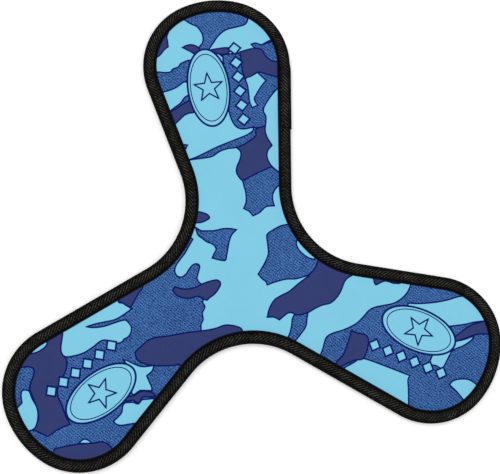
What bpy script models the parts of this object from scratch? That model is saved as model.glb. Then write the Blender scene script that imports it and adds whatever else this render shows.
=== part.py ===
"""Soft three-arm boomerang, lying flat: a foam laminate with a woven tape folded round its edge.

Frame: metres, +Z up. The origin is the hub centre, on the face that it rests on, and one arm points
along +Y. Layers from the rest face up: rear jersey, rear sponge, foam core, front sponge, front jersey.
"""

import bisect
import math

import bmesh
import bpy
from mathutils import Vector

MM = 0.001

# Outline: equal arms, each with a squarish round tip, joined to its neighbours by round crotches.
ARMS = 3
ARM_STEP = math.tau / ARMS
FIRST_ARM = math.radians(90)
TIP_CORNER_RADIUS = 39.7 * MM
TIP_CORNER_REACH = 124.3 * MM  # from the hub centre, along the arm
TIP_CORNER_OFFSET = 4.8 * MM  # to each side of the arm's line
TIP_CAP_REACH = 109.8 * MM  # centre of the wide arc that closes the tip
CROTCH_RADIUS = 47.2 * MM
CROTCH_REACH = 91.6 * MM
CROTCH_TURN = math.radians(-3.8)  # every crotch lies this far round, so the arms trail like a pinwheel
CHORD_ERROR = 0.28 * MM

# Laminate: thickness of each layer in the open field. The foam is pinched under the binding.
JERSEY = 0.4 * MM
SPONGE = 1.5 * MM
CORE = 4.0 * MM
GLUE_LINE = 0.05 * MM
PINCH = 0.51
PINCHED_TO = 8.0 * MM  # inset from the edge: pinched flat as far as this
FULL_FROM = 17.0 * MM  # inset from which every layer has its full thickness
RIM_INSETS = {"jersey": 1.8 * MM, "sponge": 1.1 * MM, "sheet": 0.8 * MM}

# Binding: one strip of tape folded round the edge, wound clockwise, its tail lapped over its start.
TAPE = 0.5 * MM
TAPE_FACE = 7.2 * MM  # how wide the tape shows on each face
TAPE_CORNER = 2.0 * MM
TAPE_CLEARANCE = 0.2 * MM
CORNER_STEPS = 2
LAP_END_REACH = 81.0 * MM  # the tail ends this far out along the first arm, on its right flank
LAP_LENGTH = 36.0 * MM
LAP_CLEARANCE = 0.1 * MM
LAP_RAMP = 5.0 * MM  # the tail climbs over this length
LAP_START_GAP = 0.4 * MM  # between the climbed tail and the start that it covers

# Sewing thread: one strand on each face of the tape, ending on the lap where it began beside it.
THREAD = 0.3 * MM
THREAD_INSET = 5.2 * MM
THREAD_CLEARANCE = 0.05 * MM
THREAD_END_GAP = 3.0 * MM

SHORTEST_STEP = 1.0 * MM  # between neighbouring sections of a strip

THICKNESS = 2 * JERSEY + 2 * SPONGE + CORE + 4 * GLUE_LINE
MIDDLE = THICKNESS / 2
PINCHED_THICKNESS = 2 * JERSEY + PINCH * (2 * SPONGE + CORE) + 4 * GLUE_LINE
TAPE_HALF = PINCHED_THICKNESS / 2 + TAPE_CLEARANCE + TAPE
LAP_RAISE = TAPE + LAP_CLEARANCE


def polar(radius, angle):
    return Vector((radius * math.cos(angle), radius * math.sin(angle)))


def arc(centre, radius, start, end, drawn_radius):
    """Points of an arc, ends included, as many as the arc of drawn_radius needs."""
    widest = 2 * math.acos(1 - CHORD_ERROR / drawn_radius)
    steps = max(1, math.ceil(abs(end - start) / widest))
    return [centre + polar(radius, start + (end - start) * i / steps) for i in range(steps + 1)]


def flank_angle(tip_corner, crotch, side):
    """Direction, from the tip corner's centre, of the point where the straight flank leaves it."""
    apart = crotch - tip_corner
    lean = math.acos((TIP_CORNER_RADIUS + CROTCH_RADIUS) / apart.length)
    return math.atan2(apart.y, apart.x) - side * lean


def arm_arcs():
    """An arm along +X and the crotch after it, anticlockwise: (centre, radius, start, end, bulges)."""
    corners = {side: Vector((TIP_CORNER_REACH, side * TIP_CORNER_OFFSET)) for side in (-1, 1)}
    crotches = {side: polar(CROTCH_REACH, side * ARM_STEP / 2 + CROTCH_TURN) for side in (-1, 1)}
    flanks = {side: flank_angle(corners[side], crotches[side], side) for side in (-1, 1)}
    cap_centre = Vector((TIP_CAP_REACH, 0.0))
    to_corner = corners[1] - cap_centre
    cap_half = math.atan2(to_corner.y, to_corner.x)
    cap_radius = TIP_CORNER_RADIUS + to_corner.length
    return [
        (corners[-1], TIP_CORNER_RADIUS, flanks[-1], -cap_half, True),
        (cap_centre, cap_radius, -cap_half, cap_half, True),
        (corners[1], TIP_CORNER_RADIUS, cap_half, flanks[1], True),
        (crotches[1], CROTCH_RADIUS, flanks[1] + math.pi, flanks[-1] + ARM_STEP + math.pi, False),
    ]


def outline(inset):
    """The closed outline moved in by inset, clockwise from above. Every inset has as many points."""
    arm = []
    for centre, radius, start, end, bulges in arm_arcs():
        points = arc(centre, radius - inset if bulges else radius + inset, start, end, radius)
        meets = arm and (points[0] - arm[-1]).length < 1e-6
        arm += points[1:] if meets else points
    whole = []
    for k in range(ARMS):
        turn = FIRST_ARM + k * ARM_STEP
        whole += [polar(p.length, math.atan2(p.y, p.x) + turn) for p in arm]
    return whole[::-1]


def material(name, colour, roughness):
    made = bpy.data.materials.new(name)
    made.use_nodes = True
    shader = made.node_tree.nodes["Principled BSDF"]
    shader.inputs["Base Color"].default_value = (*colour, 1.0)
    shader.inputs["Roughness"].default_value = roughness
    return made


def add_object(name, data, collection, made):
    data.materials.append(made)
    obj = bpy.data.objects.new(name, data)
    collection.objects.link(obj)
    return obj


def add_loft(name, rings, closed, collection, made):
    """A surface through rings of equally many points. Closed rings make a solid, with its ends filled."""
    shape = bmesh.new()
    loops = [[shape.verts.new(point) for point in ring] for ring in rings]
    count = len(rings[0])
    for low, high in zip(loops, loops[1:]):
        for i in range(count if closed else count - 1):
            j = (i + 1) % count
            shape.faces.new((high[i], high[j], low[j], low[i]))
    if closed:
        ends = [shape.faces.new(loops[0]), shape.faces.new(loops[-1])]
        bmesh.ops.triangulate(shape, faces=ends)
        bmesh.ops.recalc_face_normals(shape, faces=shape.faces)
    mesh = bpy.data.meshes.new(name)
    shape.to_mesh(mesh)
    shape.free()
    mesh.shade_smooth()
    mesh.set_sharp_from_angle(angle=math.radians(30))
    return add_object(name, mesh, collection, made)


def level_ring(inset, height):
    return [(*point, height) for point in outline(inset)]


def add_layers(collection, materials):
    """Each layer lies flat in the open field, slopes down to its pinched band, and ends in a rim."""
    layers = [
        ("rear_jersey", JERSEY, 1.0),
        ("rear_sponge", SPONGE, PINCH),
        ("core_sheet", CORE, PINCH),
        ("front_sponge", SPONGE, PINCH),
        ("front_jersey", JERSEY, 1.0),
    ]
    full = 0.0
    pinched = MIDDLE - PINCHED_THICKNESS / 2
    for name, thickness, pinch in layers:
        kind = name.split("_")[1]
        pinched_top = pinched + pinch * thickness
        rings = [
            level_ring(FULL_FROM, full),
            level_ring(PINCHED_TO, pinched),
            level_ring(RIM_INSETS[kind], pinched),
            level_ring(RIM_INSETS[kind], pinched_top),
            level_ring(PINCHED_TO, pinched_top),
            level_ring(FULL_FROM, full + thickness),
        ]
        add_loft(name, rings, True, collection, materials[kind])
        full += thickness + GLUE_LINE
        pinched = pinched_top + GLUE_LINE


def distances_along(edge):
    """How far round the closed edge each of its points lies, and last the whole way round."""
    found = [0.0]
    for here, following in zip(edge, edge[1:] + edge[:1]):
        found.append(found[-1] + (following - here).length)
    return found


def distance_of_lap_end(edge, distances):
    """Where the edge comes down the first arm's right flank past the end of the lap."""
    for i, here in enumerate(edge):
        following = edge[(i + 1) % len(edge)]
        if here.x > 0 and here.y > LAP_END_REACH >= following.y:
            share = (here.y - LAP_END_REACH) / (here.y - following.y)
            return distances[i] + share * (following - here).length
    raise ValueError("the first arm doesn't reach as far as the lap's end")


def stops_between(distances, start, end, between):
    """Distances for the sections of a strip: its ends, the ones between, and the edge's points."""
    once_round = distances[-1]
    turns = range(math.floor(start / once_round), math.ceil(end / once_round))
    needed = [start, *between, end]
    points = [turn * once_round + distance for turn in turns for distance in distances[:-1]]
    clear = [d for d in points if min(abs(d - other) for other in needed) > SHORTEST_STEP]
    return sorted(needed + [d for d in clear if start < d < end])


def raise_at(distance, overlap_from):
    """How much a strip has climbed to pass over the tape's start, which lies at overlap_from."""
    climbed = (distance - (overlap_from - LAP_RAMP)) / (LAP_RAMP - LAP_START_GAP)
    return LAP_RAISE * min(1.0, max(0.0, climbed))


def rings_along(section, start, end, overlap_from):
    """Sections standing along the edge. section(climbed) gives each one's (inset, height) points."""
    distances = distances_along(outline(0.0))
    ramp = [overlap_from - LAP_RAMP, overlap_from - LAP_START_GAP]
    rings = []
    for distance in stops_between(distances, start, end, ramp):
        within = distance % distances[-1]
        index = min(bisect.bisect_right(distances, within), len(distances) - 1) - 1
        share = (within - distances[index]) / (distances[index + 1] - distances[index])
        ring = []
        for inset, height in section(raise_at(distance, overlap_from)):
            moved = outline(inset)
            point = moved[index].lerp(moved[(index + 1) % len(moved)], share)
            ring.append((*point, height))
        rings.append(ring)
    return rings


def tape_section(climbed):
    """The folded tape's outer side: out over the front face, round the fold, in over the rear face."""
    flat_at = TAPE_HALF + climbed
    radius = TAPE_CORNER + climbed
    front = [(TAPE_FACE, flat_at)]
    for i in range(CORNER_STEPS + 1):
        angle = math.radians(90) * i / CORNER_STEPS
        inset = TAPE_CORNER - radius * math.sin(angle)
        front.append((inset, flat_at - radius + radius * math.cos(angle)))
    rear = [(inset, -height) for inset, height in reversed(front)]
    return [(inset, MIDDLE + height) for inset, height in front + rear]


def add_binding(tape_start, tape_end, overlap_from, collection, made):
    rings = rings_along(tape_section, tape_start, tape_end, overlap_from)
    binding = add_loft("edge_binding", rings, False, collection, made)
    thicken = binding.modifiers.new("tape_thickness", "SOLIDIFY")
    thicken.thickness = TAPE
    thicken.offset = -1.0
    thicken.use_even_offset = True


def add_thread(name, face, start, end, overlap_from, collection, made):
    """One strand, lying on the tape's front (face 1) or rear (face -1)."""

    def strand_section(climbed):
        above = TAPE_HALF + climbed + THREAD_CLEARANCE + THREAD / 2
        return [(THREAD_INSET, MIDDLE + face * above)]

    route = [ring[0] for ring in rings_along(strand_section, start, end, overlap_from)]
    curve = bpy.data.curves.new(name, "CURVE")
    curve.dimensions = "3D"
    curve.bevel_depth = THREAD / 2
    curve.bevel_resolution = 1
    curve.use_fill_caps = True
    spline = curve.splines.new("POLY")
    spline.points.add(len(route) - 1)
    for point, place in zip(spline.points, route):
        point.co = (*place, 1.0)
    add_object(name, curve, collection, made)


def add_edge(collection, materials):
    edge = outline(0.0)
    distances = distances_along(edge)
    lap_end = distance_of_lap_end(edge, distances)
    tape_start = lap_end - LAP_LENGTH
    tape_end = lap_end + distances[-1]
    overlap_from = tape_start + distances[-1]
    seam_start = lap_end + THREAD_END_GAP / 2
    seam_end = tape_end - THREAD_END_GAP / 2
    add_binding(tape_start, tape_end, overlap_from, collection, materials["tape"])
    add_thread("needle_thread", 1, seam_start, seam_end, overlap_from, collection, materials["thread"])
    add_thread("bobbin_thread", -1, seam_start, seam_end, overlap_from, collection, materials["thread"])


def main():
    for obj in list(bpy.data.objects):
        bpy.data.objects.remove(obj)
    collection = bpy.data.collections.new("boomerang")
    bpy.context.scene.collection.children.link(collection)
    materials = {
        "jersey": material("printed_jersey", (0.19, 0.55, 0.78), 0.85),
        "sponge": material("neoprene_sponge", (0.02, 0.02, 0.022), 0.9),
        "sheet": material("foam_core", (0.75, 0.75, 0.72), 0.9),
        "tape": material("woven_tape", (0.012, 0.012, 0.011), 0.8),
        "thread": material("sewing_thread", (0.01, 0.01, 0.01), 0.6),
    }
    add_layers(collection, materials)
    add_edge(collection, materials)


main()
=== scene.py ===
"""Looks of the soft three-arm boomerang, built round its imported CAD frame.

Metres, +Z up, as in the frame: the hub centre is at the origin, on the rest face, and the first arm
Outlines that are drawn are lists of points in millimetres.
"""

import bisect
import math

import bmesh
import bpy
import numpy as np
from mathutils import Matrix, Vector, geometry, kdtree, noise


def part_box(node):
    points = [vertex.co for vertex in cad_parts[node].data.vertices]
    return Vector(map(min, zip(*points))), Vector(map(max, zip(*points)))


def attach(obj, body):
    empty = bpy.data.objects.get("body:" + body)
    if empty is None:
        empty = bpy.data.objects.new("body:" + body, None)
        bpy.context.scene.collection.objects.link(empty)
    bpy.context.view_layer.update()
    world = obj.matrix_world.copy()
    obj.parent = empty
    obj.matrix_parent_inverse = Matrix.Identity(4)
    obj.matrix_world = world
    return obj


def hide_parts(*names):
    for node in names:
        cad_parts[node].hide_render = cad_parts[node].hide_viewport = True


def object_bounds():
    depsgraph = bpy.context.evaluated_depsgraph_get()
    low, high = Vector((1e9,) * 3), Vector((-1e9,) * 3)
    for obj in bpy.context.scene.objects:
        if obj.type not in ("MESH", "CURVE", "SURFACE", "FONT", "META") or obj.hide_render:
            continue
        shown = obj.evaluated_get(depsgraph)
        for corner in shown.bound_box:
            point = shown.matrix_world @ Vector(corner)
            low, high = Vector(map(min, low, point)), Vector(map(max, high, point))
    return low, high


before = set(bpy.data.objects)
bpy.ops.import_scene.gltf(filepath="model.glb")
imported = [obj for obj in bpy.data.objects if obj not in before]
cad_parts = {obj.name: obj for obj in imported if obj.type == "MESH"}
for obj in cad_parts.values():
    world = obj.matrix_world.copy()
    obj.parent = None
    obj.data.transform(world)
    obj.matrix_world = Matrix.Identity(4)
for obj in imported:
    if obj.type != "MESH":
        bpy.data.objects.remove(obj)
cad_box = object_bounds()

MM = 0.001

# Outline, as in the CAD: squarish round tips, straight flanks, round crotches between the arms.
ARMS = 3
ARM_STEP = math.tau / ARMS
FIRST_ARM = math.radians(90)
TIP_CORNER_RADIUS = 39.7 * MM
TIP_CORNER_REACH = 124.3 * MM
TIP_CORNER_OFFSET = 4.8 * MM
TIP_CAP_REACH = 109.8 * MM
CROTCH_RADIUS = 47.2 * MM
CROTCH_REACH = 91.6 * MM
CROTCH_TURN = math.radians(-3.8)

# Heights, from the frame. The foam is pinched under the tape and full in the open field.
MIDDLE = (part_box("front_jersey")[1].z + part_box("rear_jersey")[0].z) / 2
FIELD_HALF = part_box("front_jersey")[1].z - MIDDLE
JERSEY_THICKNESS = 0.4 * MM
PINCHED_HALF = 2.285 * MM
RIM_INSET = 1.8 * MM
PINCHED_TO = 7.0 * MM
FULL_FROM = 16.0 * MM
UNDERSIDE_PINCHED_TO = 8.0 * MM
UNDERSIDE_FULL_FROM = 17.0 * MM
FIELD_SAG = 0.15 * MM  # how far the field dips in places, as soft foam does
FIELD_SAG_LENGTH = 28.0 * MM

# Binding tape, folded round the edge.
TAPE_THICKNESS = 0.5 * MM
FOLD_DEPTH = 2.6 * MM
FOLD_HALF = 2.985 * MM
FOLD_STEPS = 4
# The tape's front, from its inner edge out to the fold: inset and height from the middle, both in
# millimetres, and how much of the ribs' height shows there. The stitching pulls in a shallow groove.
# The rib share also sets how much of the crests' colour shows. Where it is low, along the inner edge and
# in the stitching's groove, the tape stays black as painted shade.
TAPE_FRONT = [
    (7.2, 2.45, 0.0),
    (7.1, 2.70, 0.0),
    (6.8, 2.86, 0.1),
    (6.2, 2.92, 0.8),
    (5.7, 2.90, 1.0),
    (5.2, 2.80, 0.4),
    (4.7, 2.90, 1.0),
    (3.6, 3.00, 1.0),
]
INNER_ROW_STRIDE = 4

# The tape's lap lies on the first arm's right flank, and the tape is wound clockwise from above.
LAP_END_REACH = 81.0 * MM
LAP_LENGTH = 36.0 * MM
LAP_RAISE = 0.55 * MM
LAP_RAMP = 5.0 * MM
LAP_START_GAP = 0.4 * MM

# The tape's slanting ribs. They flatten towards the middle of the fold, where they are stretched, and
# the crests' colour fades with them, as painted shade on the fold.
RIB_PITCH = 2.1 * MM
RIB_HEIGHT = 0.13 * MM
RIB_LEAN = 1.1
RIB_STEPS = 4
RIB_LOST_AND_SHADED_AT_FOLD = 0.75
CREST = "rib_crest"

# Lockstitch along the tape, pulled down a little between its stitches.
THREAD_THICKNESS = 0.3 * MM
STITCH_INSET = 5.2 * MM
STITCH_LENGTH = 3.0 * MM
STITCH_HEIGHT = 2.92 * MM
STITCH_DIP = 0.3 * MM
STITCH_END_GAP = 3.0 * MM
# One stitch of the thread: share of the stitch's length, and share of the dip there.
STITCH_PROFILE = [(0.0, 1.0), (0.13, 0.2), (0.5, 0.0), (0.87, 0.2)]

# Colours of the print, and of the painted shade along the tape's inner edge, as on a screen: name,
# darkest, palest, and how strongly the hatch shows.
INKS = [
    ("print_light", (114, 187, 214), (133, 203, 226), 0.15),
    ("print_mid", (0, 17, 72), (74, 122, 188), 1.0),
    ("print_indigo", (39, 49, 99), (57, 66, 117), 0.35),
    ("print_line", (0, 10, 84), (8, 26, 106), 0.3),
    # The last is no ink but painted shade: a dark band on the face along the tape's inner edge.
    ("tape_edge_shade", (6, 9, 20), (16, 20, 34), 0.5),
]
LIGHT, MID, INDIGO, LINE, TAPE_EDGE_SHADE = range(len(INKS))

# Colours of the other fabrics, from the darkest to the palest.
TAPE_COLOURS = (1, 1, 1), (4, 4, 4), (76, 74, 67)
THREAD_COLOURS = (10, 10, 10), (30, 30, 30)
# The foams' darkest colours are painted shade in their pores.
SPONGE_COLOURS = (14, 14, 15), (40, 40, 42)
CORE_COLOURS = (190, 188, 180), (232, 230, 222)

# The jersey's knit: wales along it, courses across it, and the grain of its yarn.
CLOTH_ROUGHNESS = 0.9
CLOTH_SPECULAR = 0.08
WALE_PITCH = 0.75 * MM
COURSE_PITCH = 0.9 * MM
KNIT_WOBBLE = 0.6
GRAIN = 0.6 * MM
GRAIN_RELIEF = 0.6
JERSEY_RELIEF = 0.05 * MM

# How the ink lies on it: hatched mostly one way, mottled by the grain, and drifting from area to area.
HATCH_PITCH = 1.4 * MM
HATCH_SLANT = math.radians(45)
HATCH_WOBBLE = 4.0
HATCH_DOWN = 0.7
HATCH_UP = 0.3
HATCH_INK = 0.6
HATCH_MOTTLE = 2.1
PLAIN_MOTTLE = 0.1
CLOUD = 14.0 * MM
CLOUD_DRIFT = 0.25

# The tape's yarn, which shows on the ribs' crests, and more in some areas than in others.
TAPE_ROUGHNESS = 0.85
YARN = 0.8 * MM
WORN_AREA = 7.0 * MM
WORN_SHARE = 0.5
YARN_SHOWS_FROM = 0.5
YARN_SHOWS_FULLY = 0.95
TAPE_GRAIN = 0.5 * MM
TAPE_RELIEF = 0.06 * MM

# The thread's plies.
THREAD_ROUGHNESS = 0.5
THREAD_SPECULAR = 0.25
PLY_PITCH = 0.35 * MM
PLY_SLANT = math.radians(35)
PLY_RELIEF = 0.03 * MM

# The foams' cells, painted darker inside than on their walls as painted shade in the pores.
FOAM_ROUGHNESS = 0.9
FOAM_SPECULAR = 0.2
SPONGE_PORE = 0.5 * MM
CORE_PORE = 0.9 * MM
PORE_SHADE_EDGE = 0.1
WALL_EDGE = 0.7
FOAM_RELIEF = 0.1 * MM

# How a noise texture is layered, and how far a wave texture turns for each unit of its scale.
OCTAVES = 2.0
FEW_OCTAVES = 1.0
WAVE_TURN = 20.0

# Studio: the camera looks down on the hub from a little left of and below the middle.
CAMERA_PLACE = Vector((-78.9, -44.6, 795.6)) * MM
CAMERA_TURN = [math.radians(angle) for angle in (5.326, -5.506, -7.5)]
LENS = 96.0
SENSOR = 36.0
SKY_STRENGTH = 0.65
SOFTBOXES = [  # name, place, side and power of each
    ("key_softbox", (-0.5, 0.6, 1.9), 1.2, 16.4),
    ("fill_softbox", (0.8, -0.5, 1.8), 1.2, 6.5),
]
FLOOR_REACH = 3.0
FLOOR_WHITE = 0.97
FLOOR_GLOW = 0.15  # brightens the shadow on the floor, because the photo shows none
FLOOR_ROUGHNESS = 0.9
WHITE = (1.0, 1.0, 1.0, 1.0)

# How finely the surfaces are made.
SAME_PLACE = 1e-6
TINY = 1e-9
SHARP_ANGLE = math.radians(50)
FACE_STATION_STEP = 2.0 * MM
# The face is painted dark from here out to the edge, as painted shade along the tape's inner edge.
TAPE_EDGE_SHADE_INSET = 8.05 * MM
FACE_RINGS = [PINCHED_TO, TAPE_EDGE_SHADE_INSET, 9.0 * MM, 10.5 * MM, 12.5 * MM, FULL_FROM]
FIELD_STEP = 6.0 * MM
HIDDEN_INSET = 6.0 * MM  # the print's outlines aren't followed nearer the edge, under the tape
CURVE_STEP = 0.8  # millimetres
POINT_MERGE = 0.004  # millimetres
MITRE_LIMIT = 2.0

# The generic badge on each arm, in the frame of the arm along +Y, in millimetres.
BADGE_X, BADGE_Y = -7.0, 111.0
BADGE_HALF_WIDTH, BADGE_HALF_LENGTH = 12.5, 23.5
BADGE_POINTS = 16
BADGE_STROKE = 1.2
BADGE_BORDER = 0.87
BADGE_BORDER_STROKE = 0.6
STAR_POINTS = 5
STAR_RADIUS, STAR_NOTCH = 9.0, 3.6
STAR_STROKE = 0.9
DIAMONDS = 6
DIAMOND_X, DIAMONDS_FROM, DIAMOND_STEP = 11.5, 89.5, 8.7
DIAMOND_HALF_WIDTH, DIAMOND_HALF_LENGTH = 3.8, 3.6
DIAMOND_STROKE = 1.1

# The camouflage, from the bottom up, in millimetres. Each patch is a smooth loop through its points,
# but for its corners, and has a navy line along it. Some run on under the tape and past the edge.
CORNER = True
PATCH_STROKE = 0.95
TOP_ARM_PATCHES = [
    (MID, [
        (-18, 157.5), (-15, 153), (-12, 150.5), (-9.5, 149), (-7.5, 146), (-6.5, 143), (-7, 139),
        (-9.5, 136), (-10, 134), (-8, 133), (-4.5, 133.5, CORNER), (-1, 137.5), (3, 142), (8, 145),
        (14, 146), (19.5, 147), (21.5, 149), (22, 151), (19.5, 153), (21.5, 160), (0, 165.5)
    ]),
    (INDIGO, [
        (-27, 148), (-28, 145), (-28, 142), (-28, 138.5, CORNER), (-30.5, 137), (-34.5, 133.5), (-40, 133),
        (-35.5, 148)
    ]),
    (INDIGO, [
        (-19.5, 137, CORNER), (-17, 138), (-13.5, 138), (-10, 136), (-9.5, 134.5), (-10.5, 133),
        (-12, 132), (-15, 134, CORNER)
    ]),
    (INDIGO, [
        (-4.5, 133.5, CORNER), (1, 134), (7, 134), (9, 133), (7, 130.5), (2.5, 130.5), (-2, 132.5)
    ]),
    (LIGHT, [(2.5, 130, CORNER), (7, 130, CORNER), (7, 126, CORNER)]),
    (MID, [
        (9, 84), (16.5, 84, CORNER), (18, 82.5), (23.5, 84), (29.5, 83, CORNER), (35.5, 88.5),
        (41.5, 98.5), (41.5, 113.5), (34.5, 113.5), (29.5, 115), (26.5, 116.5), (23.5, 117), (19, 115),
        (15.5, 114, CORNER), (15.5, 130, CORNER), (4, 130, CORNER), (3, 110), (3.5, 94), (5.5, 87)
    ]),
    (INDIGO, [
        (14.5, 130.5, CORNER), (19.5, 131.5), (24, 132), (39.5, 135), (39.5, 113), (34.5, 113.5),
        (29.5, 115), (26.5, 116.5), (23.5, 117), (19, 115), (15.5, 114)
    ]),
    (MID, [
        (22, 134.5, CORNER), (24.5, 135), (28.5, 133.5), (32.5, 134.5), (39.5, 135), (39.5, 123),
        (34, 123), (31, 125), (29, 128), (28, 130.5), (24, 132, CORNER), (23, 133)
    ]),
    (LIGHT, [
        (23.5, 117, CORNER), (28, 111.5, CORNER), (24, 107.5), (21, 103.5), (19.5, 101), (21, 97, CORNER),
        (17.5, 96, CORNER), (16.5, 99.5), (16.5, 104.5), (16.5, 109.5), (16, 114), (19, 115)
    ]),
    (MID, [
        (-25, 69, CORNER), (-20, 70), (-14, 72), (-7, 74.5), (0, 76.5), (7.5, 78.5), (12.5, 80), (16, 82),
        (17, 84, CORNER), (19.5, 83.5, CORNER), (17.5, 79), (14, 76.5), (10, 74.5), (7, 73.5), (4.5, 73),
        (0, 73), (-5, 72), (-10, 69.5), (-15, 69), (-20, 69)
    ]),
    (MID, [
        (5.5, 59), (6, 53), (6.5, 49), (7, 45.5), (6.5, 40), (4.5, 36, CORNER), (7.5, 34),
        (9.5, 31, CORNER), (13.5, 32.5), (18, 35.5), (23, 35.5, CORNER), (22.5, 39.5), (23, 42.5),
        (25.5, 46), (28, 47.5), (35.5, 48), (35.5, 59)
    ]),
    (INDIGO, [
        (5, 73, CORNER), (7, 70.5), (7, 68), (5.5, 64.5), (4, 62), (3, 58.5), (4, 55.5), (6, 53),
        (9.5, 54), (14.5, 56), (19.5, 57.5), (24.5, 59), (29.5, 59), (29.5, 85), (23.5, 84), (18, 82.5),
        (17.5, 79), (14, 76.5), (10, 74.5), (7, 73.5)
    ]),
    (LIGHT, [
        (35.5, 106.5), (35, 106.5), (32.5, 104.5), (29, 101), (25, 96), (24, 93), (25, 90), (24.5, 86),
        (23.5, 81.5), (24, 77.5), (26.5, 72, CORNER), (23.5, 69), (22.5, 65.5), (23.5, 61.5), (25, 59),
        (28, 56, CORNER), (35.5, 54), (43.5, 98.5)
    ]),
    (MID, [
        (-42, 124), (-36, 124), (-32, 123), (-28.5, 123), (-27, 124.5), (-23.5, 125.5), (-21.5, 127.5),
        (-15, 128), (-15, 116), (-21.5, 116), (-24, 114.5), (-27, 113), (-31, 112), (-35, 111.5),
        (-42, 110)
    ]),
    (MID, [
        (-38, 99.5), (-32.5, 99.5), (-28.5, 101.5), (-25, 103.5), (-21.5, 107), (-18, 107.5), (-15, 102.5),
        (-18, 97), (-20, 97), (-23.5, 96), (-27, 93.5), (-30, 91.5), (-38, 88.5)
    ]),
    (INDIGO, [
        (-38, 97.5), (-32.5, 99), (-28, 100.5), (-22, 103.5), (-18, 104.5), (-15, 100.5), (-18, 97),
        (-20, 97), (-23.5, 96), (-27, 93.5), (-30, 91.5), (-38, 88.5)
    ]),
    (MID, [
        (-28, 78.5), (-24, 78, CORNER), (-25, 76.5), (-26, 74.5, CORNER), (-30, 73.5)
    ]),
]
HUB_PATCHES = [
    (INDIGO, [
        (-22.5, 37.5), (-20, 36.5), (-17.5, 35), (-16.5, 33), (-18, 32), (-21, 31), (-24, 31), (-30, 32),
        (-28, 39)
    ]),
    (MID, [
        (-25.5, 28.5, CORNER), (-22.5, 26), (-20, 25.5), (-14.5, 25), (-9.5, 25.5), (-5, 25),
        (-1.5, 24, CORNER), (-4.5, 21.5), (-6.5, 18), (-8, 13.5), (-10, 7, CORNER), (-11, 6.5, CORNER),
        (-14.5, 7.5), (-18, 9, CORNER), (-16.5, 11.5), (-15, 14), (-16.5, 17), (-20, 19), (-22.5, 21.5),
        (-24.5, 23.5), (-25, 25.5)
    ]),
    (MID, [
        (-31, 25, CORNER), (-28, 21.5, CORNER), (-31, 17.5), (-34, 13.5), (-37, 10.5), (-40, 7), (-41, 4),
        (-40, 1), (-37.5, 0), (-34.5, 1.5), (-32.5, 4), (-29.5, 6.5), (-27, 6.5), (-26, 5), (-27.5, 1),
        (-28.5, -2), (-27.5, -4.5), (-26.5, -5.5, CORNER), (-26.5, -15), (-27, -16.5), (-26, -19),
        (-27, -21), (-28, -22.5), (-28, -26.5), (-29.5, -29), (-30, -32.5, CORNER), (-30.5, -40, CORNER),
        (-40.5, -69.5, CORNER), (-100, -129, CORNER), (-169, -89.5, CORNER), (-149, -10.5, CORNER),
        (-60, 19.5, CORNER)
    ]),
    (INDIGO, [
        (-43.5, -7), (-42, -5.5), (-39.5, -6.5), (-35, -7.5), (-30, -7), (-25.5, -5.5), (-20.5, -4.5),
        (-16.5, -4.5), (-15, -6.5), (-16.5, -9.5), (-19.5, -12.5), (-23, -14.5), (-24.5, -15.5),
        (-26, -14.5), (-29.5, -12.5), (-33.5, -13), (-37.5, -12.5), (-41.5, -10.5), (-43, -8.5)
    ]),
    (INDIGO, [
        (-70, -41.5), (-70, -40.5), (-65.5, -37), (-61.5, -34.5), (-58, -33.5), (-50, -33.5), (-40, -33),
        (-30.5, -33), (-25.5, -33), (-20.5, -32.5), (-16, -31.5), (-12, -32), (-8, -33.5), (-6, -35),
        (-5.5, -40), (-12.5, -47.5), (-44, -55.5), (-45, -51), (-48, -51), (-54, -50.5), (-60.5, -49.5),
        (-66, -47.5), (-69.5, -44.5)
    ]),
    (MID, [
        (29.5, 23.5), (25, 23), (20, 21), (16.5, 19), (16, 17), (16, 12), (15.5, 7), (13, 2.5), (10, -1.5),
        (8, -4, CORNER), (10, -7), (12, -9), (12.5, -11, CORNER), (16.5, -10), (24, -9), (30, -9.5),
        (34, -9), (37, -8.5, CORNER), (39, -7.5), (42.5, -4.5), (44.5, -1), (49, 5), (39, 24.5)
    ]),
    (LIGHT, [
        (33.5, 12.5), (33.5, 9.5), (34.5, 7), (37, 4), (39.5, 2), (43, 0.5, CORNER), (44, 8), (37, 15.5)
    ]),
    (MID, [
        (27.5, -30), (25, -32.5), (24, -36), (22.5, -40.5), (20.5, -44, CORNER), (19, -49.5), (26, -51.5),
        (25, -46, CORNER), (28.5, -42.5), (32, -38.5), (33.5, -33.5), (34, -30)
    ]),
    (INDIGO, [
        (37.5, -9), (33, -11.5), (29, -14), (25, -16.5), (19.5, -18.5), (15.5, -20.5), (12, -25),
        (10, -30, CORNER), (14, -30.5), (17, -32.5, CORNER), (20, -30.5), (23, -29), (25.5, -29.5),
        (27.5, -31), (34, -30.5), (39, -28.5), (44, -27), (48.5, -26.5), (52.5, -24), (56, -20),
        (58.5, -15.5), (61, -13), (64.5, -11.5, CORNER), (65, -5), (49, 5), (44.5, -1), (42.5, -4.5),
        (39, -7.5)
    ]),
]
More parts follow.
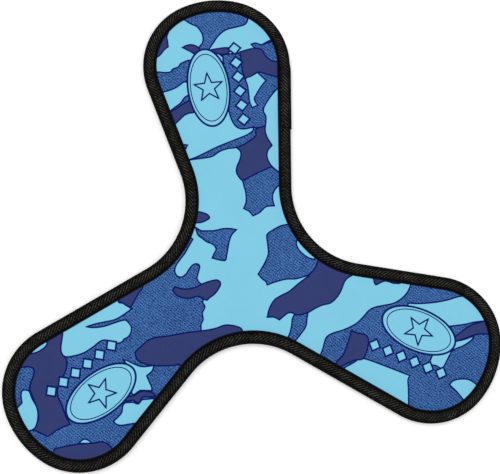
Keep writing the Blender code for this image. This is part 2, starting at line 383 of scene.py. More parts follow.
RIGHT_ARM_PATCHES = [
    (MID, [
        (39, -56), (40.5, -53), (42.5, -48), (44, -46), (47.5, -44.5), (53.5, -43.5), (59, -42),
        (63.5, -40), (67.5, -37), (71, -34), (74.5, -32.5), (80, -32), (86.5, -31.5), (91.5, -29.5),
        (95.5, -26.5), (97.5, -24), (99, -21.5, CORNER), (108.5, -5, CORNER), (158, -19.5, CORNER),
        (158, -98.5, CORNER), (98.5, -123.5, CORNER), (35, -69.5, CORNER)
    ]),
    (LIGHT, [
        (95.5, -32.5, CORNER), (101.5, -33.5), (108, -34), (114.5, -34), (120.5, -33.5), (127, -32.5),
        (148, -32.5, CORNER), (148, -49.5, CORNER), (138.5, -49), (133.5, -49), (128.5, -49.5),
        (122, -49.5, CORNER), (98.5, -49.5, CORNER), (93.5, -39.5)
    ]),
    (LIGHT, [
        (52.5, -65.5), (55, -64.5), (58.5, -63), (62, -61.5), (66, -62.5), (78.5, -69),
        (90.5, -75.5, CORNER), (89, -77.5), (88.5, -82), (88, -87), (87.5, -92), (86.5, -103.5, CORNER),
        (44, -74)
    ]),
    (INDIGO, [
        (59, -44.5, CORNER), (63, -46.5), (67, -48), (68.5, -51.5), (64, -61.5), (58.5, -62),
        (54.5, -63), (47, -64.5), (52.5, -57.5), (56, -51)
    ]),
    (LIGHT, [
        (133, -57, CORNER), (126, -58.5), (118.5, -59), (110.5, -61), (103.5, -69.5), (107.5, -72),
        (110.5, -74.5, CORNER), (113, -71), (115.5, -67.5), (118.5, -64), (125.5, -62), (130.5, -59.5)
    ]),
    (INDIGO, [
        (118, -57.5, CORNER), (125.5, -53.5), (130.5, -51), (134.5, -50), (144, -50), (144, -56.5),
        (137, -56.5), (133.5, -56.5), (126, -58), (119, -59)
    ]),
    (LIGHT, [
        (113.5, -84, CORNER), (116, -82), (120.5, -81.5), (125.5, -82.5), (129.5, -85.5), (134, -90.5),
        (124, -98.5), (120.5, -93.5), (117.5, -89)
    ]),
    (INDIGO, [
        (77.5, -12), (77, -17), (77.5, -19), (79.5, -18.5), (83.5, -17.5), (86.5, -18.5), (88.5, -19.5),
        (93.5, -19.5), (95.5, -14)
    ]),
]
LEFT_ARM_PATCHES = [
    (INDIGO, [
        (-110.5, -20.5), (-110.5, -23), (-111, -26), (-112.5, -32), (-112.5, -35), (-111, -37.5),
        (-110, -40), (-111.5, -46), (-116.5, -54), (-117.5, -60), (-116, -65), (-114.5, -71.5),
        (-112.5, -77, CORNER), (-117, -78), (-121, -79.5), (-126, -82), (-128.5, -80.5), (-133.5, -77.5),
        (-139.5, -75.5), (-131, -73), (-130, -67.5), (-131.5, -60), (-133, -54), (-132, -50), (-130, -46),
        (-129.5, -42.5), (-131.5, -41), (-135.5, -40.5), (-138.5, -41), (-145, -38), (-129.5, -15.5)
    ]),
    (LIGHT, [
        (-76, -10), (-76, -5.5), (-111.5, -18.5), (-110.5, -23), (-111, -26), (-112.5, -32), (-112.5, -35),
        (-111, -37.5), (-107, -38), (-100, -37), (-94.5, -34.5), (-87.5, -31), (-80.5, -34, CORNER),
        (-77, -33.5), (-75.5, -32), (-73, -31), (-71, -28.5), (-70.5, -25), (-73, -21, CORNER),
        (-75.5, -21), (-81, -22), (-86, -23), (-92, -23), (-96.5, -22, CORNER), (-91, -21), (-85, -20.5),
        (-79.5, -20), (-74.5, -18), (-69, -15, CORNER), (-70.5, -13.5), (-73.5, -11)
    ]),
    (INDIGO, [
        (-76, -8.5), (-73.5, -11), (-70.5, -13.5), (-69, -13.5, CORNER), (-66.5, -10), (-63.5, -6),
        (-61, -3), (-62, 2.5)
    ]),
    (LIGHT, [
        (-137.5, -54), (-135, -54), (-133.5, -55), (-132.5, -59), (-130.5, -64), (-130, -68), (-131, -73),
        (-133, -76.5), (-135.5, -77.5, CORNER), (-141.5, -77.5), (-147.5, -66), (-141.5, -63.5, CORNER),
        (-138.5, -61, CORNER), (-138.5, -56.5)
    ]),
    (LIGHT, [
        (-130, -33.5, CORNER), (-126.5, -33), (-123, -31.5), (-120.5, -29.5), (-120, -27.5, CORNER),
        (-121.5, -20.5), (-135.5, -28.5)
    ]),
    (LIGHT, [
        (-77.5, -44, CORNER), (-75.5, -44.5), (-72.5, -46.5), (-68, -49), (-64.5, -49.5),
        (-60, -49.5, CORNER), (-61.5, -52.5), (-65, -55, CORNER), (-64, -58.5), (-63, -61.5),
        (-63, -64, CORNER), (-66, -63.5), (-70, -63), (-72, -64), (-74, -65, CORNER), (-75, -63.5),
        (-73, -59.5), (-73, -55), (-73.5, -50.5), (-75.5, -47)
    ]),
    (INDIGO, [
        (-79, -66), (-76, -65.5), (-74, -65.5), (-72, -64.5), (-69.5, -63.5), (-65.5, -64), (-62.5, -65.5),
        (-61, -67.5, CORNER), (-64, -67.5), (-69, -67), (-70.5, -69), (-71.5, -70), (-73.5, -69),
        (-74.5, -68), (-78, -68), (-79.5, -67.5)
    ]),
    (LIGHT, [
        (-79.5, -69), (-76.5, -69), (-74, -69.5), (-72.5, -70.5), (-71, -70), (-69.5, -68.5), (-66, -68.5),
        (-63.5, -68.5, CORNER), (-58, -71.5), (-70, -87.5), (-74.5, -81.5, CORNER), (-78.5, -81.5),
        (-83.5, -81.5), (-86, -80.5), (-87.5, -78.5, CORNER), (-84.5, -76.5), (-82, -74), (-81, -70.5)
    ]),
    (INDIGO, [
        (-123.5, -90.5), (-119.5, -89.5), (-114.5, -89), (-107.5, -89), (-101, -89.5), (-95.5, -89.5),
        (-92.5, -91), (-91, -92.5), (-90.5, -93.5), (-88, -104), (-124.5, -104.5)
    ]),
    (LIGHT, [
        (-109, -88.5, CORNER), (-105.5, -86.5), (-102.5, -88), (-101.5, -89.5, CORNER), (-105.5, -89)
    ]),
]


def polar(radius, angle):
    return Vector((radius * math.cos(angle), radius * math.sin(angle)))


# ---- The outline -------------------------------------------------------------------------------


def flank_angle(tip_corner, crotch, side):
    """Direction, from the tip corner's centre, of the point where the straight flank leaves it."""
    apart = crotch - tip_corner
    lean = math.acos((TIP_CORNER_RADIUS + CROTCH_RADIUS) / apart.length)
    return math.atan2(apart.y, apart.x) - side * lean


def arm_arcs():
    """An arm along +X and the crotch after it, anticlockwise: (centre, radius, start, end, bulges)."""
    corners = {side: Vector((TIP_CORNER_REACH, side * TIP_CORNER_OFFSET)) for side in (-1, 1)}
    crotches = {side: polar(CROTCH_REACH, side * ARM_STEP / 2 + CROTCH_TURN) for side in (-1, 1)}
    flanks = {side: flank_angle(corners[side], crotches[side], side) for side in (-1, 1)}
    cap_centre = Vector((TIP_CAP_REACH, 0.0))
    to_corner = corners[1] - cap_centre
    cap_half = math.atan2(to_corner.y, to_corner.x)
    cap_radius = TIP_CORNER_RADIUS + to_corner.length
    return [
        (corners[-1], TIP_CORNER_RADIUS, flanks[-1], -cap_half, True),
        (cap_centre, cap_radius, -cap_half, cap_half, True),
        (corners[1], TIP_CORNER_RADIUS, cap_half, flanks[1], True),
        (crotches[1], CROTCH_RADIUS, flanks[1] + math.pi, flanks[-1] + ARM_STEP + math.pi, False),
    ]


def arc_piece(centre, radius, start, end, bulges):
    """An arc of the edge: its length, and what turns a share of it into (point, inward direction)."""

    def place(share):
        out = polar(1.0, start + (end - start) * share)
        return centre + radius * out, -out if bulges else out

    return abs(end - start) * radius, place


def flank_piece(start, end):
    """A straight flank of the edge, in the same form as an arc."""
    along = (end - start).normalized()
    inward = Vector((along.y, -along.x))

    def place(share):
        return start.lerp(end, share), inward

    return (end - start).length, place


def edge_pieces():
    """The edge's arcs and straight flanks, clockwise from above."""
    arcs = []
    for k in range(ARMS):
        turn = FIRST_ARM - k * ARM_STEP
        for centre, radius, start, end, bulges in reversed(arm_arcs()):
            turned = polar(centre.length, math.atan2(centre.y, centre.x) + turn)
            arcs.append(arc_piece(turned, radius, end + turn, start + turn, bulges))
    pieces = []
    for here, following in zip(arcs, arcs[1:] + arcs[:1]):
        pieces.append(here)
        leaves, arrives = here[1](1.0)[0], following[1](0.0)[0]
        if (arrives - leaves).length > SAME_PLACE:
            pieces.append(flank_piece(leaves, arrives))
    return pieces


EDGE_PIECES = edge_pieces()
EDGE_STARTS = [sum(length for length, _ in EDGE_PIECES[:i]) for i in range(len(EDGE_PIECES))]
EDGE_LENGTH = sum(length for length, _ in EDGE_PIECES)


def edge_at(distance):
    """(point, inward direction) of the edge at a distance round it, clockwise from above."""
    within = distance % EDGE_LENGTH
    index = bisect.bisect_right(EDGE_STARTS, within) - 1
    length, place = EDGE_PIECES[index]
    return place((within - EDGE_STARTS[index]) / length)


def distance_of_lap_end():
    """Where the edge comes down the first arm's right flank past the end of the lap."""
    for start, (length, place) in zip(EDGE_STARTS, EDGE_PIECES):
        above, below = place(0.0)[0], place(1.0)[0]
        if above.x > 0 and above.y > LAP_END_REACH >= below.y:
            return start + length * (above.y - LAP_END_REACH) / (above.y - below.y)
    raise ValueError("the first arm doesn't reach as far as the lap's end")


TAPE_START = distance_of_lap_end() - LAP_LENGTH
TAPE_END = distance_of_lap_end() + EDGE_LENGTH


def lap_raise(distance):
    """How far a strip at this distance has climbed to pass over the tape's start."""
    overlap_from = TAPE_START + EDGE_LENGTH
    climbed = (distance - (overlap_from - LAP_RAMP)) / (LAP_RAMP - LAP_START_GAP)
    return LAP_RAISE * min(1.0, max(0.0, climbed))


def stations(step):
    """(point, inward direction) round the whole edge, about a step apart."""
    count = round(EDGE_LENGTH / step)
    return [edge_at(EDGE_LENGTH * i / count) for i in range(count)]


# ---- Materials ---------------------------------------------------------------------------------


def linear(screen):
    """A screen's colour, from 0 to 255, as the linear colour that the sRGB standard gives."""
    shares = [value / 255 for value in screen]
    return (*[s / 12.92 if s <= 0.04045 else ((s + 0.055) / 1.055) ** 2.4 for s in shares], 1.0)


class Shader:
    """A material's node tree, with short ways to add the nodes that the fabrics use."""

    def __init__(self, name, roughness, specular):
        self.material = bpy.data.materials.new(name)
        self.material.use_nodes = True
        self.tree = self.material.node_tree
        self.surface = self.tree.nodes["Principled BSDF"]
        self.surface.inputs["Roughness"].default_value = roughness
        self.surface.inputs["Specular IOR Level"].default_value = specular
        self.place = self.node("ShaderNodeTexCoord").outputs["Object"]

    def node(self, kind, **settings):
        made = self.tree.nodes.new(kind)
        for key, value in settings.items():
            setattr(made, key, value)
        return made

    def link(self, source, target):
        self.tree.links.new(source, target)

    def math(self, operation, *values):
        """A Math node on values that are numbers or other nodes' outputs."""
        made = self.node("ShaderNodeMath", operation=operation)
        for socket, value in zip(made.inputs, values):
            if isinstance(value, (int, float)):
                socket.default_value = value
            else:
                self.link(value, socket)
        return made.outputs["Value"]

    def scaled_place(self, size, turn=0.0):
        """The object's own coordinates, turned about Z and counted in units of a size."""
        mapping = self.node("ShaderNodeMapping", vector_type="TEXTURE")
        mapping.inputs["Rotation"].default_value = (0.0, 0.0, turn)
        mapping.inputs["Scale"].default_value = (size, size, size)
        self.link(self.place, mapping.inputs["Vector"])
        return mapping.outputs["Vector"]

    def noise(self, size, detail=OCTAVES):
        """Noise whose lumps are about a size across."""
        made = self.node("ShaderNodeTexNoise")
        made.inputs["Scale"].default_value = 1.0
        made.inputs["Detail"].default_value = detail
        self.link(self.scaled_place(size), made.inputs["Vector"])
        return made.outputs["Fac"]

    def lines(self, pitch, turn, wobble=0.0):
        """Parallel soft lines, a pitch apart, running across a direction turned from +X about Z."""
        made = self.node("ShaderNodeTexWave", wave_profile="SIN")
        made.inputs["Scale"].default_value = math.tau / WAVE_TURN
        made.inputs["Distortion"].default_value = wobble
        made.inputs["Detail"].default_value = FEW_OCTAVES
        self.link(self.scaled_place(pitch, turn), made.inputs["Vector"])
        return made.outputs["Fac"]

    def ramp(self, share, colours, positions=(0.0, 1.0)):
        """Screen colours along a share, each at its position."""
        made = self.node("ShaderNodeValToRGB")
        elements = made.color_ramp.elements
        elements[0].position, elements[1].position = positions[0], positions[-1]
        for position in positions[1:-1]:
            elements.new(position)
        for element, colour in zip(elements, colours):
            element.color = linear(colour)
        self.link(share, made.inputs["Fac"])
        return made.outputs["Color"]

    def colour(self, output):
        self.link(output, self.surface.inputs["Base Color"])

    def bump(self, height, depth):
        """Raises the surface by a height of about 0 to 1, times a depth in metres."""
        made = self.node("ShaderNodeBump")
        made.inputs["Distance"].default_value = depth
        self.link(height, made.inputs["Height"])
        self.link(made.outputs["Normal"], self.surface.inputs["Normal"])


def jersey_material(name, darkest, palest, hatch):
    """Printed knitted jersey: fine wales, small loops, and a slanting hatch of the dark ink."""
    shader = Shader(name, CLOTH_ROUGHNESS, CLOTH_SPECULAR)
    wales = shader.lines(WALE_PITCH, 0.0, KNIT_WOBBLE)
    courses = shader.lines(COURSE_PITCH, math.radians(90), KNIT_WOBBLE)
    loops = shader.math("MULTIPLY", wales, courses)
    grain = shader.noise(GRAIN, FEW_OCTAVES)
    cloud = shader.noise(CLOUD)
    down = shader.math("MULTIPLY", HATCH_DOWN, shader.lines(HATCH_PITCH, HATCH_SLANT, HATCH_WOBBLE))
    up = shader.math("MULTIPLY", HATCH_UP, shader.lines(HATCH_PITCH, -HATCH_SLANT, HATCH_WOBBLE))
    share = 0.5
    for texture, strength in [
        (shader.math("ADD", down, up), HATCH_INK * hatch),
        (grain, HATCH_MOTTLE * hatch + PLAIN_MOTTLE),
        (cloud, CLOUD_DRIFT),
    ]:
        swing = shader.math("MULTIPLY", strength, shader.math("SUBTRACT", texture, 0.5))
        share = shader.math("ADD", share, swing)
    shader.colour(shader.ramp(share, (darkest, palest)))
    relief = shader.math("ADD", loops, shader.math("MULTIPLY", GRAIN_RELIEF, grain))
    shader.bump(relief, JERSEY_RELIEF)
    return shader.material


def tape_material():
    """Black twill tape: olive-brown yarn shows on the ribs' crests, broken up along them. Where the ribs
    are low, over the fold, in the stitching's groove and along the inner edge, the tape stays black as
    painted shade.
    """
    shader = Shader("woven_tape", TAPE_ROUGHNESS, CLOTH_SPECULAR)
    crest = shader.node("ShaderNodeAttribute", attribute_name=CREST).outputs["Fac"]
    worn = shader.math("MULTIPLY", WORN_SHARE, shader.noise(WORN_AREA))
    broken = shader.math("MULTIPLY", crest, shader.math("ADD", shader.noise(YARN), worn))
    shader.colour(shader.ramp(broken, TAPE_COLOURS, (0.0, YARN_SHOWS_FROM, YARN_SHOWS_FULLY)))
    shader.bump(shader.noise(TAPE_GRAIN), TAPE_RELIEF)
    return shader.material


def thread_material():
    """Bonded black sewing thread, with the turn of its plies."""
    shader = Shader("sewing_thread", THREAD_ROUGHNESS, THREAD_SPECULAR)
    plies = shader.lines(PLY_PITCH, PLY_SLANT)
    shader.colour(shader.ramp(plies, THREAD_COLOURS))
    shader.bump(plies, PLY_RELIEF)
    return shader.material


def foam_material(name, colours, pore_size):
    """Cut foam: small cells, painted darker inside than on their walls, as painted shade in the pores."""
    shader = Shader(name, FOAM_ROUGHNESS, FOAM_SPECULAR)
    cells = shader.node("ShaderNodeTexVoronoi")
    cells.inputs["Scale"].default_value = 1.0 / pore_size
    shader.link(shader.place, cells.inputs["Vector"])
    from_centre = cells.outputs["Distance"]
    # Painted shade: each cell is coloured darkest at its middle and palest on its walls.
    shader.colour(shader.ramp(from_centre, colours, (PORE_SHADE_EDGE, WALL_EDGE)))
    shader.bump(from_centre, FOAM_RELIEF)
    return shader.material


# ---- The print ---------------------------------------------------------------------------------


def drawn_points(outline):
    """The outline's points as vectors, and whether each is a sharp corner."""
    return [Vector(point[:2]) for point in outline], [len(point) > 2 for point in outline]


def smooth_loop(outline):
    """A closed curve through the outline's points, anticlockwise, smooth but at its corners."""
    points, sharp = drawn_points(outline)
    count = len(points)
    curve = []
    for i, here in enumerate(points):
        following = points[(i + 1) % count]
        step = following - here
        leave = step if sharp[i] else turned_along(following - points[i - 1], step)
        after = points[(i + 2) % count]
        arrive = step if sharp[(i + 1) % count] else turned_along(after - here, step)
        pieces = max(1, round(step.length / CURVE_STEP))
        curve += [hermite(here, following, leave, arrive, k / pieces) for k in range(pieces)]
    loop = np.array(curve)
    return loop if signed_area(loop) > 0 else loop[::-1]


def turned_along(direction, step):
    """A tangent in this direction, as long as the step."""
    return direction.normalized() * step.length


def hermite(start, end, leave, arrive, share):
    """The point at a share of the way from start to end, with those tangents at the ends."""
    squared, cubed = share**2, share**3
    from_start = (2 * cubed - 3 * squared + 1) * start + (cubed - 2 * squared + share) * leave
    return from_start + (3 * squared - 2 * cubed) * end + (cubed - squared) * arrive


def signed_area(loop):
    following = np.roll(loop, -1, axis=0)
    return 0.5 * np.sum(loop[:, 0] * following[:, 1] - following[:, 0] * loop[:, 1])


def grown(loop, by):
    """The anticlockwise loop moved out by a distance, its sharp corners mitred up to a limit."""
    before = loop - np.roll(loop, 1, axis=0)
    after = np.roll(loop, -1, axis=0) - loop
    out_before = unit(np.stack([before[:, 1], -before[:, 0]], axis=1))
    out_after = unit(np.stack([after[:, 1], -after[:, 0]], axis=1))
    out = unit(out_before + out_after)
    stretch = 1.0 / np.maximum(np.sum(out * out_after, axis=1), 1.0 / MITRE_LIMIT)
    return loop + by * out * stretch[:, None]


def unit(vectors):
    lengths = np.maximum(np.linalg.norm(vectors, axis=1), TINY)
    return vectors / lengths[:, None]


def winds_round(loop, places):
    """Which of the places the loop winds round anticlockwise."""
    found = np.zeros(len(places), bool)
    low, high = loop.min(axis=0), loop.max(axis=0)
    near = np.all((places > low) & (places < high), axis=1)
    x, y = places[near].T
    turns = np.zeros(len(x), int)
    for (x0, y0), (x1, y1) in zip(loop, np.roll(loop, -1, axis=0)):
        left = (x1 - x0) * (y - y0) - (x - x0) * (y1 - y0)
        turns += (y0 <= y) & (y < y1) & (left > 0)
        turns -= (y1 <= y) & (y < y0) & (left < 0)
    found[near] = turns > 0
    return found


def emblem_shapes():
    """The badge on one arm, which points along +Y: an oval with a star, and a row of diamonds."""
    turns = [math.tau * i / BADGE_POINTS for i in range(BADGE_POINTS)]

    def oval(scale):
        wide, long = scale * BADGE_HALF_WIDTH, scale * BADGE_HALF_LENGTH
        return [(BADGE_X + wide * math.cos(a), BADGE_Y + long * math.sin(a)) for a in turns]

    star = []
    for i in range(2 * STAR_POINTS):
        reach = STAR_RADIUS if i % 2 == 0 else STAR_NOTCH
        angle = math.radians(90) + math.pi * i / STAR_POINTS
        star.append((BADGE_X + reach * math.cos(angle), BADGE_Y + reach * math.sin(angle), CORNER))
    shapes = [
        (LIGHT, oval(1.0), BADGE_STROKE),
        (LIGHT, oval(BADGE_BORDER), BADGE_BORDER_STROKE),
        (LIGHT, star, STAR_STROKE),
    ]
    for i in range(DIAMONDS):
        y = DIAMONDS_FROM + i * DIAMOND_STEP
        diamond = [
            (DIAMOND_X + DIAMOND_HALF_WIDTH, y, CORNER), (DIAMOND_X, y + DIAMOND_HALF_LENGTH, CORNER),
            (DIAMOND_X - DIAMOND_HALF_WIDTH, y, CORNER), (DIAMOND_X, y - DIAMOND_HALF_LENGTH, CORNER),
        ]
        shapes.append((LIGHT, diamond, DIAMOND_STROKE))
    return shapes


def turned(loop, angle):
    cosine, sine = math.cos(angle), math.sin(angle)
    return loop @ np.array([[cosine, sine], [-sine, cosine]])


def print_regions():
    """Everything printed, from the bottom up: (material index, closed loop in millimetres)."""
    drawn = []
    for colour, outline in TOP_ARM_PATCHES + HUB_PATCHES + RIGHT_ARM_PATCHES + LEFT_ARM_PATCHES:
        drawn.append((colour, smooth_loop(outline), PATCH_STROKE))
    for k in range(ARMS):
        for colour, outline, stroke in emblem_shapes():
            drawn.append((colour, turned(smooth_loop(outline), k * ARM_STEP), stroke))
    regions = []
    for colour, loop, stroke in drawn:
        regions.append((LINE, grown(loop, stroke / 2)))
        regions.append((colour, grown(loop, -stroke / 2)))
    return regions


# ---- The faces ---------------------------------------------------------------------------------


def inset_finder():
    """A function that gives how far inside the edge a place lies, negative outside it."""
    ring = stations(CURVE_STEP * MM)
    tree = kdtree.KDTree(len(ring))
    for i, (point, _) in enumerate(ring):
        tree.insert(point.to_3d(), i)
    tree.balance()

    def inset_of(place):
        _, i, _ = tree.find(Vector((*place, 0.0)))
        point, inward = ring[i]
        return (Vector(place) - point).dot(inward)

    return inset_of


def face_height(inset, place):
    """Height of the face above the boomerang's middle: pinched by the tape, then crowned."""
    rise = min(1.0, max(0.0, (inset - PINCHED_TO) / (FULL_FROM - PINCHED_TO)))
    sag = 0.5 + 0.5 * noise.noise(Vector((*place, 0.0)) / FIELD_SAG_LENGTH)
    crown = FIELD_HALF - FIELD_SAG * sag
    return PINCHED_HALF + (crown - PINCHED_HALF) * math.sin(rise * math.pi / 2)


def face_layout(inset_of, regions):
    """Flat points and edges that the face's triangles follow, in millimetres, and the rim's count."""
    ring = stations(FACE_STATION_STEP)
    points, edges = [], []

    def add_loop(loop, shown):
        """Adds a closed loop's points, and its edges between the points that show."""
        first = len(points)
        points.extend(loop)
        for i in range(len(loop)):
            j = (i + 1) % len(loop)
            if shown[i] and shown[j]:
                edges.append((first + i, first + j))

    for inset in [RIM_INSET, *FACE_RINGS]:
        add_loop([(point + inset * inward) / MM for point, inward in ring], [True] * len(ring))
    for _, loop in regions:
        shown = [inset_of(place * MM) > HIDDEN_INSET for place in loop]
        add_loop([Vector(place) for place in loop], shown)
    low, high = cad_box
    for row in range(math.ceil((high.y - low.y) / FIELD_STEP)):
        for column in range(math.ceil((high.x - low.x) / FIELD_STEP)):
            place = low.xy + FIELD_STEP * Vector((column + 0.5 * (row % 2), row))
            if inset_of(place) > FULL_FROM + FIELD_STEP / 2:
                points.append(place / MM)
    return points, edges, len(ring)


def printed_face():
    """The front face's mesh data about the middle plane: (points, faces, material indices)."""
    inset_of = inset_finder()
    regions = print_regions()
    flat, edges, rim_count = face_layout(inset_of, regions)
    # The outlines' hidden points, under the tape or past the edge, are left out.
    used = {i for edge in edges for i in edge}
    kept = [i for i in range(len(flat)) if i in used or inset_of(flat[i] * MM) > FULL_FROM]
    renamed = {old: new for new, old in enumerate(kept)}
    laid, _, triangles, origins, _, _ = geometry.delaunay_2d_cdt(
        [flat[i] for i in kept], [(renamed[a], renamed[b]) for a, b in edges], [], 1, POINT_MERGE
    )
    # Where the triangulation has put each point of the rim, which are the first that it was given.
    rim = {origin: i for i, found in enumerate(origins) for origin in found if origin < rim_count}
    centres = np.array([sum((laid[i] for i in t), Vector((0.0, 0.0))) / len(t) for t in triangles])
    insets = np.array([inset_of(centre * MM) for centre in centres])
    colours = np.full(len(triangles), LIGHT)
    for index, loop in regions:
        colours[winds_round(loop, centres)] = index
    # Painted shade: the face next to the tape's inner edge takes the dark colour.
    colours[insets < TAPE_EDGE_SHADE_INSET] = TAPE_EDGE_SHADE
    points = []
    for place in laid:
        place = place * MM
        points.append((*place, face_height(inset_of(place), place)))
    inside = insets > RIM_INSET
    faces = [tuple(t) for t, keep in zip(triangles, inside) if keep]
    indices = [int(c) for c in colours[inside]]
    add_underside(points, faces, indices, [rim[i] for i in range(rim_count)])
    return points, faces, indices


def add_underside(points, faces, indices, rim):
    """Closes the face below with a coarse surface, one jersey's thickness under it."""
    ring = stations(FACE_STATION_STEP)
    upper = rim
    for inset, height in [
        (RIM_INSET, PINCHED_HALF - JERSEY_THICKNESS),
        (UNDERSIDE_PINCHED_TO, PINCHED_HALF - JERSEY_THICKNESS),
        (UNDERSIDE_FULL_FROM, FIELD_HALF - FIELD_SAG - JERSEY_THICKNESS),
    ]:
        lower = [len(points) + i for i in range(len(ring))]
        points += [(*(point + inset * inward), height) for point, inward in ring]
        for i, here in enumerate(upper):
            j = (i + 1) % len(upper)
            faces.append((here, upper[j], lower[j], lower[i]))
            indices.append(LIGHT)
        upper = lower
    faces.append(tuple(upper))
    indices.append(LIGHT)


def add_face(name, mesh_data, side, turn, materials):
    """A face of the boomerang: side 1 is the front, -1 the rear, which is the print turned over."""
    points, faces, indices = mesh_data
    placed = []
    for x, y, z in points:
        flat = polar(math.hypot(x, y), math.atan2(y, x) + turn)
        placed.append((*flat, MIDDLE + side * z))
    if side < 0:
        faces = [tuple(reversed(face)) for face in faces]
    mesh = bpy.data.meshes.new(name)
    mesh.from_pydata(placed, [], faces)
    for material in materials:
        mesh.materials.append(material)
    mesh.polygons.foreach_set("material_index", indices)
    merge_same_places(mesh)
    face = finish_object(name, mesh)
    rim = np.array([point + RIM_INSET * inward for point, inward in stations(FACE_STATION_STEP)])
    return face


def merge_same_places(mesh):
    """Joins points that the triangulation left in one place."""
    shape = bmesh.new()
    shape.from_mesh(mesh)
    bmesh.ops.remove_doubles(shape, verts=shape.verts, dist=SAME_PLACE)
    shape.to_mesh(mesh)
    shape.free()


def finish_object(name, mesh):
    """Smooths the mesh where it bends gently and puts it into the scene, riding on the one body."""
    mesh.shade_smooth()
    mesh.set_sharp_from_angle(angle=SHARP_ANGLE)
    piece = bpy.data.objects.new(name, mesh)
    bpy.context.scene.collection.objects.link(piece)
    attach(piece, "root")
    return piece


# ---- The tape and its stitching ----------------------------------------------------------------


def tape_rows():
    """The folded tape's outer section, front to rear: (inset, height from the middle, rib share)."""
    fold = []
    for i in range(1, FOLD_STEPS + 1):
        angle = math.radians(90) * i / FOLD_STEPS
        inset = FOLD_DEPTH * (1 - math.sin(angle))
        share = 1.0 - RIB_LOST_AND_SHADED_AT_FOLD * i / FOLD_STEPS
        fold.append((inset, FOLD_HALF * math.cos(angle), share))
    front = [(inset * MM, height * MM, share) for inset, height, share in TAPE_FRONT]
    front.append((FOLD_DEPTH, FOLD_HALF, 1.0))
    rear = [(inset, -height, share) for inset, height, share in reversed(front + fold[:-1])]
    return front + fold + rear


def tape_section():
    """The tape's closed section: (inset, height, outward direction, lean, rib share, depth).

    The outer side has a row at each point; the plain inner side, a tape's thickness in, has fewer.
    """
    rows = tape_rows()
    outer, lean = [], 0.0
    for i, (inset, height, share) in enumerate(rows):
        before, after = rows[max(i - 1, 0)], rows[min(i + 1, len(rows) - 1)]
        along = Vector((after[0] - before[0], after[1] - before[1])).normalized()
        if i:
            lean += RIB_LEAN * math.dist(rows[i][:2], rows[i - 1][:2])
        outer.append((inset, height, Vector((along.y, -along.x)), lean, share, 0.0))
    inner = [(*row[:4], 0.0, -TAPE_THICKNESS) for row in outer[::INNER_ROW_STRIDE]]
    return outer + inner[::-1]


def add_tape(material):
    """The folded strip, its ribs leaning as they run over the fold, its tail lapped over its start."""
    section = tape_section()
    step = RIB_PITCH / RIB_STEPS
    widest_lean = max(row[3] for row in section)
    first = math.floor((TAPE_START - widest_lean) / step)
    last = math.ceil(TAPE_END / step)
    points, crests, known = [], [], {}

    def vertex(column, k):
        inset, height, out, lean, share, depth = section[k]
        # Columns that lean past an end of the tape share that end's points, so it is cut straight.
        distance = min(max(column * step + lean, TAPE_START), TAPE_END)
        cut = distance in (TAPE_START, TAPE_END)
        key = (distance > TAPE_START, k) if cut else (column, k, "along")
        if key not in known:
            crest = 0.0 if cut else share * math.sin(math.pi * (column % RIB_STEPS) / RIB_STEPS)
            stands_off = depth + lap_raise(distance) + RIB_HEIGHT * crest
            point, inward = edge_at(distance)
            flat = point + (inset + stands_off * out.x) * inward
            known[key] = len(points)
            points.append((*flat, MIDDLE + height + stands_off * out.y))
            crests.append(crest)
        return known[key]

    faces = []
    for column in range(first, last):
        for k in range(len(section)):
            after = (k + 1) % len(section)
            corners = [vertex(column, k), vertex(column + 1, k)]
            corners += [vertex(column + 1, after), vertex(column, after)]
            face = list(dict.fromkeys(corners))
            if len(face) > 2:
                faces.append(face)
    faces.append([vertex(first, k) for k in range(len(section))])
    faces.append([vertex(last, k) for k in reversed(range(len(section)))])
    mesh = bpy.data.meshes.new("binding_tape")
    mesh.from_pydata(points, [], faces)
    mesh.attributes.new(CREST, "FLOAT", "POINT").data.foreach_set("value", crests)
    face_outwards(mesh)
    mesh.materials.append(material)
    tape = finish_object("binding_tape", mesh)
    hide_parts("edge_binding")


def face_outwards(mesh):
    shape = bmesh.new()
    shape.from_mesh(mesh)
    bmesh.ops.recalc_face_normals(shape, faces=shape.faces)
    shape.to_mesh(mesh)
    shape.free()


def add_stitching(name, node, side, material):
    """One thread of the lockstitch: it lies on the tape and dips into it between its stitches."""
    start = TAPE_END - EDGE_LENGTH + STITCH_END_GAP / 2
    end = TAPE_END - STITCH_END_GAP / 2
    count = round((end - start) / STITCH_LENGTH)
    curve = bpy.data.curves.new(name, "CURVE")
    curve.dimensions = "3D"
    curve.bevel_depth = THREAD_THICKNESS / 2
    curve.bevel_resolution = 1
    curve.use_fill_caps = True
    spline = curve.splines.new("POLY")
    spline.points.add(len(STITCH_PROFILE) * count - 1)
    for i, control in enumerate(spline.points):
        stitch, part = divmod(i, len(STITCH_PROFILE))
        share, dip = STITCH_PROFILE[part]
        distance = start + (end - start) * (stitch + share) / count
        point, inward = edge_at(distance)
        height = STITCH_HEIGHT + lap_raise(distance) - STITCH_DIP * dip
        control.co = (*(point + STITCH_INSET * inward), MIDDLE + side * height, 1.0)
    curve.materials.append(material)
    thread = bpy.data.objects.new(name, curve)
    bpy.context.scene.collection.objects.link(thread)
    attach(thread, "root")
    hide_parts(node)


# ---- The studio --------------------------------------------------------------------------------


def add_camera():
    data = bpy.data.cameras.new("camera")
    data.lens = LENS
    data.sensor_width = SENSOR
    camera = bpy.data.objects.new("camera", data)
    camera.location = CAMERA_PLACE
    camera.rotation_euler = CAMERA_TURN
    bpy.context.scene.collection.objects.link(camera)
    bpy.context.scene.camera = camera


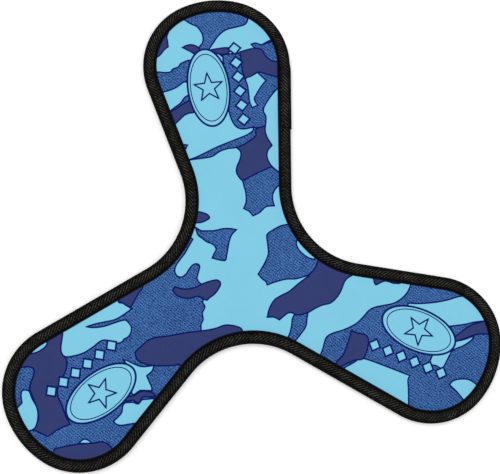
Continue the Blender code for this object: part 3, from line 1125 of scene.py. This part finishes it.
def add_light(name, place, size, power):
    """A square softbox that faces the hub."""
    data = bpy.data.lights.new(name, "AREA")
    data.size = size
    data.energy = power
    light = bpy.data.objects.new(name, data)
    light.location = place
    light.rotation_euler = Vector(place).to_track_quat("Z", "Y").to_euler()
    bpy.context.scene.collection.objects.link(light)


def add_studio():
    world = bpy.data.worlds.new("studio")
    world.use_nodes = True
    world.node_tree.nodes["Background"].inputs["Color"].default_value = WHITE
    world.node_tree.nodes["Background"].inputs["Strength"].default_value = SKY_STRENGTH
    bpy.context.scene.world = world
    bpy.context.scene.view_settings.view_transform = "Standard"
    for name, place, size, power in SOFTBOXES:
        add_light(name, place, size, power)
    mesh = bpy.data.meshes.new("floor")
    corners = [(x * FLOOR_REACH, y * FLOOR_REACH, 0.0) for x, y in [(-1, -1), (1, -1), (1, 1), (-1, 1)]]
    mesh.from_pydata(corners, [], [(0, 1, 2, 3)])
    paper = bpy.data.materials.new("floor_paper")
    paper.use_nodes = True
    surface = paper.node_tree.nodes["Principled BSDF"]
    surface.inputs["Base Color"].default_value = (FLOOR_WHITE, FLOOR_WHITE, FLOOR_WHITE, 1.0)
    surface.inputs["Roughness"].default_value = FLOOR_ROUGHNESS
    surface.inputs["Emission Color"].default_value = WHITE
    surface.inputs["Emission Strength"].default_value = FLOOR_GLOW
    mesh.materials.append(paper)
    floor = bpy.data.objects.new("floor", mesh)
    bpy.context.scene.collection.objects.link(floor)


def main():
    add_camera()
    add_studio()
    inks = [jersey_material(*ink) for ink in INKS]
    face = printed_face()
    front = add_face("front_print", face, 1, 0.0, inks)
    rear = add_face("rear_print", face, -1, ARM_STEP, inks)
    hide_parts("front_jersey")
    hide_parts("rear_jersey")
    add_tape(tape_material())
    thread = thread_material()
    add_stitching("needle_stitches", "needle_thread", 1, thread)
    add_stitching("bobbin_stitches", "bobbin_thread", -1, thread)
    sponge = foam_material("sponge_cells", SPONGE_COLOURS, SPONGE_PORE)
    core = foam_material("core_cells", CORE_COLOURS, CORE_PORE)
    for node, foam in [("front_sponge", sponge), ("rear_sponge", sponge), ("core_sheet", core)]:
        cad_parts[node].material_slots[0].material = foam


main()
